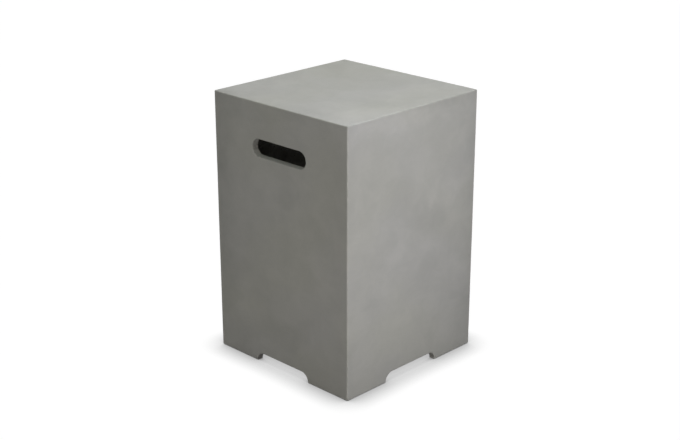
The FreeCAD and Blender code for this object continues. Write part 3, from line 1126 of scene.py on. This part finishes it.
def build_casting_clouds():
    tree, given, result = open_group(
        "casting_clouds",
        {"Vector": ORIGIN, "Size": 60 * MM, "Flatness": 1.6, "Seed": 0.0},
        ("Cloud", "Patch", "Drift"),
    )
    seed = given["Seed"]
    narrower = sums(tree, "DIVIDE", 1.0, given["Flatness"])
    squeeze = tree.nodes.new("ShaderNodeCombineXYZ")
    for label, value in (("X", narrower), ("Y", narrower), ("Z", 1.0)):
        feed(tree, squeeze.inputs[label], value)
    flat = vectors(tree, "MULTIPLY", given["Vector"], squeeze.outputs[0])
    place = in_units_of(tree, flat, given["Size"])
    swirled = push_about(tree, place, noise(tree, place, SWIRL_DETAIL, seed=seed), SWIRL)
    slow = vectors(tree, "SCALE", swirled, SLOWER)
    cloud = noise(tree, swirled, CLOUD_DETAIL, CLOUD_ROUGHNESS, seed)
    patch = noise(tree, slow, PATCH_DETAIL, seed=sums(tree, "ADD", seed, PATCH_SEED))
    drift = noise(tree, slow, DRIFT_DETAIL, seed=sums(tree, "ADD", seed, DRIFT_SEED))
    for label, node in (("Cloud", cloud), ("Patch", patch), ("Drift", drift)):
        feed(tree, result[label], node.outputs["Fac"])
    return tree


casting_clouds = build_casting_clouds()
print("group", casting_clouds.name)

# %% [markdown]
# The sand in the mix shows as a fine roughness, and here and there a dark grain lies bare. A noise
# gives the roughness. The grains could be another noise cut off high up, but it would make worms,
# not grains. A Voronoi texture has one point a cell, and its random colour picks the rare ones.

# %% Sand grain
SAND_DETAIL = 2
SAND_ROUGHNESS = 0.6
SPECK_SCALE = 0.45
SPECK_RARE = (0.72, 0.95)
SPECK_RIM = (0.45, 0.15)


def scatter(tree, place):
    cells = tree.nodes.new("ShaderNodeTexVoronoi")
    cells.feature = "F1"
    feed(tree, cells.inputs["Vector"], place)
    feed(tree, cells.inputs["Scale"], 1.0)
    chance = tree.nodes.new("ShaderNodeSeparateColor")
    feed(tree, chance.inputs["Color"], cells.outputs["Color"])
    return cells.outputs["Distance"], chance.outputs


def build_sand_grain():
    tree, given, result = open_group(
        "sand_grain", {"Vector": ORIGIN, "Grain": 0.8 * MM}, ("Height", "Speck")
    )
    place = in_units_of(tree, given["Vector"], given["Grain"])
    coarse = noise(tree, place, SAND_DETAIL, SAND_ROUGHNESS)
    distance, chance = scatter(tree, vectors(tree, "SCALE", place, SPECK_SCALE))
    rare = stretch(tree, chance["Red"], *SPECK_RARE)
    speck = sums(tree, "MULTIPLY", stretch(tree, distance, *SPECK_RIM), rare)
    feed(tree, result["Height"], coarse.outputs["Fac"])
    feed(tree, result["Speck"], speck)
    return tree


sand_grain = build_sand_grain()
print("group", sand_grain.name)

# %% [markdown]
# Air trapped against the mould leaves pinholes. They could be cut as small dents, but thousands
# of them would swamp the mesh, for marks a millimetre or two wide. Scattered points with a random
# radius are enough; the power makes most of them tiny and a few wide, as air bubbles are.

# %% Pinholes
PIN_RARITY = 3.0
PIN_CORE = 0.6


def build_pinholes():
    tree, given, result = open_group(
        "pinholes", {"Vector": ORIGIN, "Spacing": 18 * MM, "Widest": 0.7 * MM}, ("Hole",)
    )
    distance, chance = scatter(tree, in_units_of(tree, given["Vector"], given["Spacing"]))
    share = sums(tree, "POWER", chance["Green"], PIN_RARITY)
    widest = sums(tree, "DIVIDE", given["Widest"], given["Spacing"])
    radius = sums(tree, "MULTIPLY", share, widest)
    core = sums(tree, "MULTIPLY", radius, PIN_CORE)
    feed(tree, result["Hole"], stretch(tree, distance, radius, core))
    return tree


pinholes = build_pinholes()
print("group", pinholes.name)

# %% [markdown]
# Hands and brooms rub the edges of the cover a little paler, but never evenly. Geometry's
# Pointiness could find the edges, but it changes with the way that the mesh is sliced. The cover
# is a box, so a spot is near an edge where it is near two of the box's sides at once, and a noise
# leaves gaps in the wear.

# %% Rubbed edges
RUB_SCALE = 45.0
RUB_DETAIL = 3
RUB_ROUGHNESS = 0.6
RUB_GAPS = (0.30, 0.62)


def build_rubbed_edges():
    tree, given, result = open_group(
        "rubbed_edges",
        {"Vector": ORIGIN, "Reach": 6 * MM, "Half Width": WIDTH / 2, "Bottom": LEG_FOOT, "Top": TOP},
        ("Rub",),
    )
    split = tree.nodes.new("ShaderNodeSeparateXYZ")
    feed(tree, split.inputs[0], given["Vector"])
    reach, half, bottom, top = (given[label] for label in ("Reach", "Half Width", "Bottom", "Top"))
    inner = sums(tree, "SUBTRACT", half, reach)
    near_x = stretch(tree, sums(tree, "ABSOLUTE", split.outputs["X"]), inner, half)
    near_y = stretch(tree, sums(tree, "ABSOLUTE", split.outputs["Y"]), inner, half)
    near_top = stretch(tree, split.outputs["Z"], sums(tree, "SUBTRACT", top, reach), top)
    near_foot = stretch(tree, split.outputs["Z"], sums(tree, "ADD", bottom, reach), bottom)
    near_z = sums(tree, "MAXIMUM", near_top, near_foot)
    corners = sums(tree, "MULTIPLY", near_x, near_y)
    rims = sums(tree, "MULTIPLY", sums(tree, "MAXIMUM", near_x, near_y), near_z)
    edges = sums(tree, "MAXIMUM", corners, rims)
    scaled = vectors(tree, "SCALE", given["Vector"], RUB_SCALE)
    worn = noise(tree, scaled, RUB_DETAIL, RUB_ROUGHNESS)
    patchy = stretch(tree, worn.outputs["Fac"], *RUB_GAPS)
    feed(tree, result["Rub"], sums(tree, "MULTIPLY", edges, patchy))
    return tree


rubbed_edges = build_rubbed_edges()
print("group", rubbed_edges.name)

# %% [markdown]
# Some marks on a casting aren't random: a pale smear where a sponge was wiped, a darker patch
# where the mix dried last. Other patches are painted shade and light, where a wall is darker or
# paler along one of its edges. A noise can't put them in their places, so each gets a soft patch
# of its own. The group measures how far a spot lies from the patch's middle, as a share of its
# reach along each side, after a turn in the plane of the wall.

# %% Soft patch
PATCH_RIM = (1.0, 0.15)


def build_soft_patch():
    tree, given, result = open_group(
        "soft_patch",
        {"Vector": ORIGIN, "Middle": ORIGIN, "Reach": (1, 1, 1), "Axis": (0, 0, 1), "Turn": 0.0},
        ("Patch",),
    )
    turned = tree.nodes.new("ShaderNodeVectorRotate")
    turned.rotation_type = "AXIS_ANGLE"
    feed(tree, turned.inputs["Vector"], vectors(tree, "SUBTRACT", given["Vector"], given["Middle"]))
    feed(tree, turned.inputs["Axis"], given["Axis"])
    feed(tree, turned.inputs["Angle"], given["Turn"])
    share = vectors(tree, "DIVIDE", turned.outputs[0], given["Reach"])
    distance = vectors(tree, "LENGTH", share)
    feed(tree, result["Patch"], stretch(tree, distance, *PATCH_RIM))
    return tree


soft_patch = build_soft_patch()
print("group", soft_patch.name)

# %% [markdown]
# On this cover the marks and the painted shade are faint: the strongest row changes the grey by a
# little over a tenth. They could be painted as a picture, but that would need a file. Each row here
# gives a patch on its wall, in millimetres: its middle, how far it reaches, a turn in degrees and
# how much paler or darker it is. Not every row is a mark: the long dark rows at the front wall's
# left edge and top-left corner and at the right wall's rear edge are painted shade, and the long
# pale row along the top of the right wall is painted light. The rows were set by comparing a
# render's levels with the photograph. A ragged noise pushes the rims about, so that no ellipse
# shows.

# %% Marks and painted shade on three walls
# Right wall: the long pale row at the top is painted light; the dark rows near the rear edge are
# painted shade.
RIGHT_MARKS_AND_SHADE = (
    ((20, 345), (120, 52), 8, -0.058),
    ((-75, 440), (150, 120), 12, -0.044),
    ((-140, 435), (32, 75), 0, -0.036),
    ((62, 398), (23, 58), 30, 0.050),
    ((118, 395), (40, 55), 0, 0.045),
    ((-58, 290), (75, 34), 0, 0.055),
    ((45, 283), (50, 22), 12, 0.045),
    ((-122, 188), (32, 80), -25, -0.045),
    ((-25, 580), (200, 34), 0, 0.095),
    ((185, 490), (40, 90), 0, -0.045),
    ((178, 95), (50, 90), 0, -0.045),
    ((205, 320), (52, 520), 0, -0.070),
    ((122, 188), (80, 60), 0, 0.035),
)
# Front wall: the three dark rows at the left edge and its top corner are painted shade.
FRONT_MARKS_AND_SHADE = (
    ((60, 245), (160, 150), 0, 0.055),
    ((-185, 585), (110, 45), 0, -0.105),
    ((-192, 450), (50, 75), 0, -0.070),
    ((60, 40), (150, 32), 0, -0.035),
    ((22, 300), (32, 170), 0, -0.030),
    ((25, 410), (42, 32), 0, -0.035),
    ((0, 90), (105, 48), 0, -0.040),
    ((-95, 125), (80, 55), 0, 0.035),
    ((-50, 430), (60, 45), 0, 0.035),
    ((65, 445), (75, 26), 0, 0.040),
    ((130, 245), (45, 60), 0, 0.020),
    ((-200, 370), (80, 520), 0, -0.115),
    ((178, 80), (50, 90), 0, -0.050),
    ((205, 500), (70, 240), 0, -0.050),
)
TOP_PATCHES = (
    ((205, 90), (110, 200), 0, -0.070),
    ((-195, -60), (110, 330), 0, 0.050),
    ((125, -45), (100, 50), -10, -0.034),
    ((155, -145), (75, 60), 0, 0.045),
    ((50, -182), (120, 30), 0, -0.032),
)
WALLS_WITH_MARKS_AND_SHADE = (
    (ACROSS, WIDTH / 2, RIGHT_MARKS_AND_SHADE),
    (DEEP, -DEPTH / 2, FRONT_MARKS_AND_SHADE),
    (UP, TOP, TOP_PATCHES),
)
PATCH_THROUGH = 36 * MM
RAGGED_LENGTH = 38 * MM
RAGGED = 55 * MM
RAGGED_DETAIL = 3
RAGGED_ROUGHNESS = 0.55
RAGGED_SEED = 4.0


def on_wall(axis, pair, through):
    triple = [value * MM for value in pair]
    triple.insert(axis, through)
    return triple


# Scales the grey by every row: the marks, and the painted shade and light along some edges.
def paint_marks_and_shade(tree, place):
    scaled = vectors(tree, "SCALE", place, 1 / RAGGED_LENGTH)
    ragged = noise(tree, scaled, RAGGED_DETAIL, RAGGED_ROUGHNESS, RAGGED_SEED)
    pushed = push_about(tree, place, ragged, RAGGED)
    total = 1.0
    for axis, level, patches in WALLS_WITH_MARKS_AND_SHADE:
        for middle, reach, turn, amount in patches:
            patch = add_group(
                tree,
                soft_patch,
                Vector=pushed,
                Middle=on_wall(axis, middle, level),
                Reach=on_wall(axis, reach, PATCH_THROUGH),
                Axis=arrow(axis),
                Turn=math.radians(turn),
            )
            total = sums(tree, "MULTIPLY_ADD", patch.outputs["Patch"], amount, total)
    return total


print("patches:", sum(len(patches) for _, _, patches in WALLS_WITH_MARKS_AND_SHADE))

# %% [markdown]
# Every finish is one Principled shader, fed with a colour, a roughness and a bump. A few helpers do
# what is the same each time: open the material, blend or tint a colour, turn a height into a bump
# and wire the shader. A mark could be painted over, but then it would hide what lies under it, so
# its tint is multiplied in.

# %% Material helpers
def open_material(name):
    material = bpy.data.materials.new(name)
    material.use_nodes = True
    tree = material.node_tree
    place = tree.nodes.new("ShaderNodeTexCoord").outputs["Object"]
    return material, tree, tree.nodes["Principled BSDF"].inputs, place


def blend(tree, amount, first, second, kind="MIX"):
    node = tree.nodes.new("ShaderNodeMix")
    node.data_type = "RGBA"
    node.blend_type = kind
    feed(tree, node.inputs["Factor"], amount)
    feed(tree, node.inputs["A"], first)
    feed(tree, node.inputs["B"], second)
    return node.outputs["Result"]


def tint(tree, amount, colour, by):
    return blend(tree, amount, colour, by, "MULTIPLY")


def bump(tree, height, distance, under=None):
    node = tree.nodes.new("ShaderNodeBump")
    node.inputs["Distance"].default_value = distance
    feed(tree, node.inputs["Height"], height)
    if under is not None:
        feed(tree, node.inputs["Normal"], under)
    return node.outputs["Normal"]


def wire(tree, shader, colour, roughness, normal):
    feed(tree, shader["Base Color"], colour)
    feed(tree, shader["Roughness"], roughness)
    feed(tree, shader["Normal"], normal)


print("material helpers ready")

# %% [markdown]
# The face mix is mottled, but so softly that its clouds differ by only a few hundredths. One
# noise could mottle it; fine clouds and broad patches together look more like concrete. The top
# was cast against the mould's flat bottom, where the mix dries more evenly, so there the mottling
# is drawn back towards its middle.

# %% Mottling of the face mix
FINE_RANGE = (0.22, 0.78)
FINE_SHARE = 0.75
BROAD_RANGE = (0.25, 0.75)
MID_GREY = (0.5, 0.5, 0.5, 1)
EVEN_TOP = 0.3


def mottle(tree, place, clouds):
    fine = stretch(tree, clouds.outputs["Cloud"], *FINE_RANGE)
    broad = stretch(tree, clouds.outputs["Patch"], *BROAD_RANGE)
    share_of_fine = sums(tree, "MULTIPLY", fine, FINE_SHARE)
    both = sums(tree, "MULTIPLY_ADD", broad, 1 - FINE_SHARE, share_of_fine)
    split = tree.nodes.new("ShaderNodeSeparateXYZ")
    feed(tree, split.inputs[0], place)
    on_top = stretch(tree, split.outputs["Z"], TOP - ARRIS, TOP, 0.0, EVEN_TOP)
    return blend(tree, on_top, both, MID_GREY)


print("the top is", EVEN_TOP, "more even than the sides")

# %% [markdown]
# The face mix is white and grey cement with fine sand and a little pigment, polished by the
# mould. Its grey is a touch warmer than neutral and nearly matt. A picture of concrete could be
# wrapped round it, but it would stretch or repeat. The colour is built up instead: the mottled
# grey, a slight drift of its tint, the marks with the painted shade and light along some edges,
# the rubbed edges, a dark grain here and there and a rare pinhole. The bump adds the sand.

# %% Finish: face mix
FACE_GREY = (0.437, 0.437, 0.402, 1)
CLOUD_DARK = (0.930, 0.930, 0.930, 1)
CLOUD_PALE = (1.070, 1.070, 1.070, 1)
DRIFT_COOL = (0.994, 0.994, 1.011, 1)
DRIFT_WARM = (1.004, 1.006, 0.988, 1)
RUBBED_PALE = (1.09, 1.09, 1.08, 1)
PIN_DARK = (0.42, 0.42, 0.42, 1)
DRIFT_RANGE = (0.3, 0.7)
SPECK_SHARE = 0.25
MIDTONES = (0.2, 0.8)
FACE_ROUGHNESS = (0.80, 0.66)
FACE_SPECULAR = 0.35
SAND_RELIEF = 0.04 * MM
PIN_DEPTH = 0.5 * MM


def make_face_mix():
    material, tree, shader, place = open_material("face_mix_grey")
    clouds = add_group(tree, casting_clouds, Vector=place, Size=60 * MM, Flatness=1.2, Seed=2.0)
    grain = add_group(tree, sand_grain, Vector=place, Grain=0.8 * MM)
    pins = add_group(tree, pinholes, Vector=place, Spacing=20 * MM, Widest=0.8 * MM)
    rub = add_group(
        tree, rubbed_edges, Vector=place, Reach=5 * MM, Half_Width=WIDTH / 2, Bottom=LEG_FOOT, Top=TOP
    )
    mottled = mottle(tree, place, clouds)
    drift = stretch(tree, clouds.outputs["Drift"], *DRIFT_RANGE)
    speck = sums(tree, "MULTIPLY", grain.outputs["Speck"], SPECK_SHARE)
    colour = tint(tree, 1.0, FACE_GREY, blend(tree, mottled, CLOUD_DARK, CLOUD_PALE))
    colour = tint(tree, 1.0, colour, blend(tree, drift, DRIFT_COOL, DRIFT_WARM))
    # the marks, and painted shade and light along some wall edges, scale the grey
    colour = vectors(tree, "SCALE", colour, paint_marks_and_shade(tree, place))
    colour = tint(tree, rub.outputs["Rub"], colour, RUBBED_PALE)
    colour = tint(tree, speck, colour, PIN_DARK)
    colour = tint(tree, pins.outputs["Hole"], colour, PIN_DARK)
    sanded = bump(tree, grain.outputs["Height"], SAND_RELIEF)
    solid = sums(tree, "SUBTRACT", 1.0, pins.outputs["Hole"])
    roughness = stretch(tree, mottled, *MIDTONES, *FACE_ROUGHNESS)
    wire(tree, shader, colour, roughness, bump(tree, solid, PIN_DEPTH, sanded))
    feed(tree, shader["Specular IOR Level"], FACE_SPECULAR)
    return material


face_mix = make_face_mix()
coat.data.materials.append(face_mix)
print("finish", face_mix.name, "on", coat.name)

# %% [markdown]
# The backing is rougher and darker, because its cement isn't pressed against a mould. Paler and
# darker cement lie in soft clouds on it, and hair-fine fibres cross it. The fibres could be
# modelled, but they are thinner than a pixel. A noise that is drawn out in one direction gives
# fine lines, and three of them at different turns cross like fibres.

# %% Finish: fibre concrete
BACKING_DARK = (0.225, 0.218, 0.195, 1)
BACKING_PALE = (0.385, 0.378, 0.345, 1)
BACKING_RANGE = (0.3, 0.7)
BACKING_ROUGHNESS = (0.95, 0.80)
BACKING_SPECULAR = 0.3
BACKING_RELIEF = 0.4 * MM
VOID_DEPTH = 0.8 * MM
FIBRE_PALE = (0.52, 0.51, 0.47, 1)
FIBRE_RANGE = (0.66, 0.74)
FIBRE_SHARE = 0.55
FIBRE_RELIEF = 0.15 * MM
FIBRE_STRETCH = (40, 900, 900)
FIBRE_TURNS = (
    ((0.4, 0.7, 0.2), 1.0),
    ((1.3, 0.2, 1.1), 2.0),
    ((0.9, 1.6, 2.2), 3.0),
)


def fibre_lines(tree, place):
    lines = 0.0
    for turn, seed in FIBRE_TURNS:
        turned = tree.nodes.new("ShaderNodeMapping")
        feed(tree, turned.inputs["Vector"], place)
        feed(tree, turned.inputs["Rotation"], turn)
        feed(tree, turned.inputs["Scale"], FIBRE_STRETCH)
        drawn_out = noise(tree, turned.outputs[0], detail=1, seed=seed)
        fibres = stretch(tree, drawn_out.outputs["Fac"], *FIBRE_RANGE)
        lines = sums(tree, "MAXIMUM", lines, fibres)
    return lines


def make_fibre_concrete():
    material, tree, shader, place = open_material("fibre_concrete_grey")
    clouds = add_group(tree, casting_clouds, Vector=place, Size=30 * MM, Flatness=1.0, Seed=5.0)
    grain = add_group(tree, sand_grain, Vector=place, Grain=1.6 * MM)
    voids = add_group(tree, pinholes, Vector=place, Spacing=7 * MM, Widest=1.6 * MM)
    lines = fibre_lines(tree, place)
    amount = stretch(tree, clouds.outputs["Cloud"], *BACKING_RANGE)
    colour = blend(tree, amount, BACKING_DARK, BACKING_PALE)
    colour = blend(tree, sums(tree, "MULTIPLY", lines, FIBRE_SHARE), colour, FIBRE_PALE)
    colour = tint(tree, voids.outputs["Hole"], colour, PIN_DARK)
    sanded = bump(tree, grain.outputs["Height"], BACKING_RELIEF)
    fibred = bump(tree, lines, FIBRE_RELIEF, sanded)
    solid = sums(tree, "SUBTRACT", 1.0, voids.outputs["Hole"])
    roughness = stretch(tree, amount, 0.0, 1.0, *BACKING_ROUGHNESS)
    wire(tree, shader, colour, roughness, bump(tree, solid, VOID_DEPTH, fibred))
    feed(tree, shader["Specular IOR Level"], BACKING_SPECULAR)
    return material


fibre_concrete = make_fibre_concrete()
backing.data.materials.append(fibre_concrete)
print("finish", fibre_concrete.name, "on", backing.name)

# %% [markdown]
# The strands that lie on the backing are glass with a skin of cement, so they are paler than it
# and a little smoother. The backing's own finish could be used again, but its fibres and voids
# are too coarse for something a millimetre wide. Finer clouds and finer sand are enough.

# %% Finish: cement-coated strands
STRAND_PALE = (0.50, 0.49, 0.45, 1)
STRAND_GREY = (0.33, 0.325, 0.30, 1)
STRAND_RANGE = (0.35, 0.65)
STRAND_ROUGHNESS = (0.75, 0.55)
STRAND_RELIEF = 0.1 * MM


def clouds_and_sand(tree, place, size, seed, grain):
    clouds = add_group(tree, casting_clouds, Vector=place, Size=size, Flatness=1.0, Seed=seed)
    sand = add_group(tree, sand_grain, Vector=place, Grain=grain)
    return clouds.outputs["Cloud"], sand.outputs["Height"]


def make_strand_finish():
    material, tree, shader, place = open_material("cement_coated_strand")
    cloud, sand = clouds_and_sand(tree, place, size=6 * MM, seed=8.0, grain=0.5 * MM)
    amount = stretch(tree, cloud, *STRAND_RANGE)
    colour = blend(tree, amount, STRAND_GREY, STRAND_PALE)
    roughness = stretch(tree, amount, 0.0, 1.0, *STRAND_ROUGHNESS)
    wire(tree, shader, colour, roughness, bump(tree, sand, STRAND_RELIEF))
    return material


strand_finish = make_strand_finish()
strands.data.materials.append(strand_finish)
print("finish", strand_finish.name, "on", strands.name)

# %% [markdown]
# The net's rovings are bundles of white glass, dipped so that they keep their shape. Glass could
# be given transmission, but a bundle of fine fibres scatters the light and looks white. So the
# finish is an opaque white, broken up by a fine grain where the fibres lie, and the dip gives it
# a slight gloss.

# %% Finish: glass net
NET_WHITE = (0.74, 0.76, 0.70, 1)
NET_SHADE = (0.48, 0.51, 0.46, 1)
NET_CLOUD_RANGE = (0.2, 0.6)
NET_FIBRE_RANGE = (0.35, 0.65)
NET_ROUGHNESS = (0.55, 0.35)
NET_RELIEF = 0.05 * MM


def make_glass_net():
    material, tree, shader, place = open_material("glass_net_white")
    cloud, sand = clouds_and_sand(tree, place, size=20 * MM, seed=11.0, grain=0.3 * MM)
    fibres = stretch(tree, sand, *NET_FIBRE_RANGE)
    amount = sums(tree, "MULTIPLY", fibres, stretch(tree, cloud, *NET_CLOUD_RANGE))
    colour = blend(tree, amount, NET_SHADE, NET_WHITE)
    roughness = stretch(tree, amount, 0.0, 1.0, *NET_ROUGHNESS)
    wire(tree, shader, colour, roughness, bump(tree, fibres, NET_RELIEF))
    return material


glass_net = make_glass_net()
for net in nets.values():
    net.data.materials.append(glass_net)
print("finish", glass_net.name, "on", len(nets), "nets")

# %% [markdown]
# The pads are black rubber. A plain black would look like a hole, because real rubber is never
# clean: concrete dust sits in its pores and makes it greyer and duller there. The dust lies where
# a cloud and the grain of the rubber are both high.

# %% Finish: pad rubber
RUBBER = (0.022, 0.022, 0.024, 1)
RUBBER_DUST = (0.16, 0.16, 0.15, 1)
DUST_CLOUD_RANGE = (0.50, 0.78)
DUST_PORE_RANGE = (0.3, 0.7)
DUSTIEST = 0.6
RUBBER_ROUGHNESS = (0.62, 0.92)
RUBBER_RELIEF = 0.08 * MM


def make_pad_rubber():
    material, tree, shader, place = open_material("pad_rubber_black")
    cloud, pores = clouds_and_sand(tree, place, size=12 * MM, seed=14.0, grain=0.6 * MM)
    dusty = stretch(tree, cloud, *DUST_CLOUD_RANGE)
    dust = sums(tree, "MULTIPLY", dusty, stretch(tree, pores, *DUST_PORE_RANGE))
    colour = blend(tree, dust, RUBBER, RUBBER_DUST)
    roughness = stretch(tree, dust, 0.0, DUSTIEST, *RUBBER_ROUGHNESS)
    wire(tree, shader, colour, roughness, bump(tree, pores, RUBBER_RELIEF))
    return material


pad_rubber = make_pad_rubber()
for pad in foot_pads.values():
    pad.data.materials.append(pad_rubber)
print("finish", pad_rubber.name, "on", len(foot_pads), "pads")

# %% [markdown]
# The last step joins each modelled piece to the frame: what it rides on, and which measured solid
# it stands for, which is then hidden. The pieces are also put in the collection that the soft
# boxes light.

# %% Join the pieces to the frame
def join_to_frame(piece, finish, *solids):
    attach(piece, "root")
    if solids:
        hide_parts(*solids)
    lit_pieces.objects.link(piece)


join_to_frame(coat, "face_mix", "face_coat")
join_to_frame(backing, "fibre_concrete", "fibre_backing")
join_to_frame(strands, "fibre_concrete")
for corner, pad in foot_pads.items():
    join_to_frame(pad, "pad_rubber", f"foot_pad_{corner}")
for node, net in nets.items():
    join_to_frame(net, "glass_net", node)
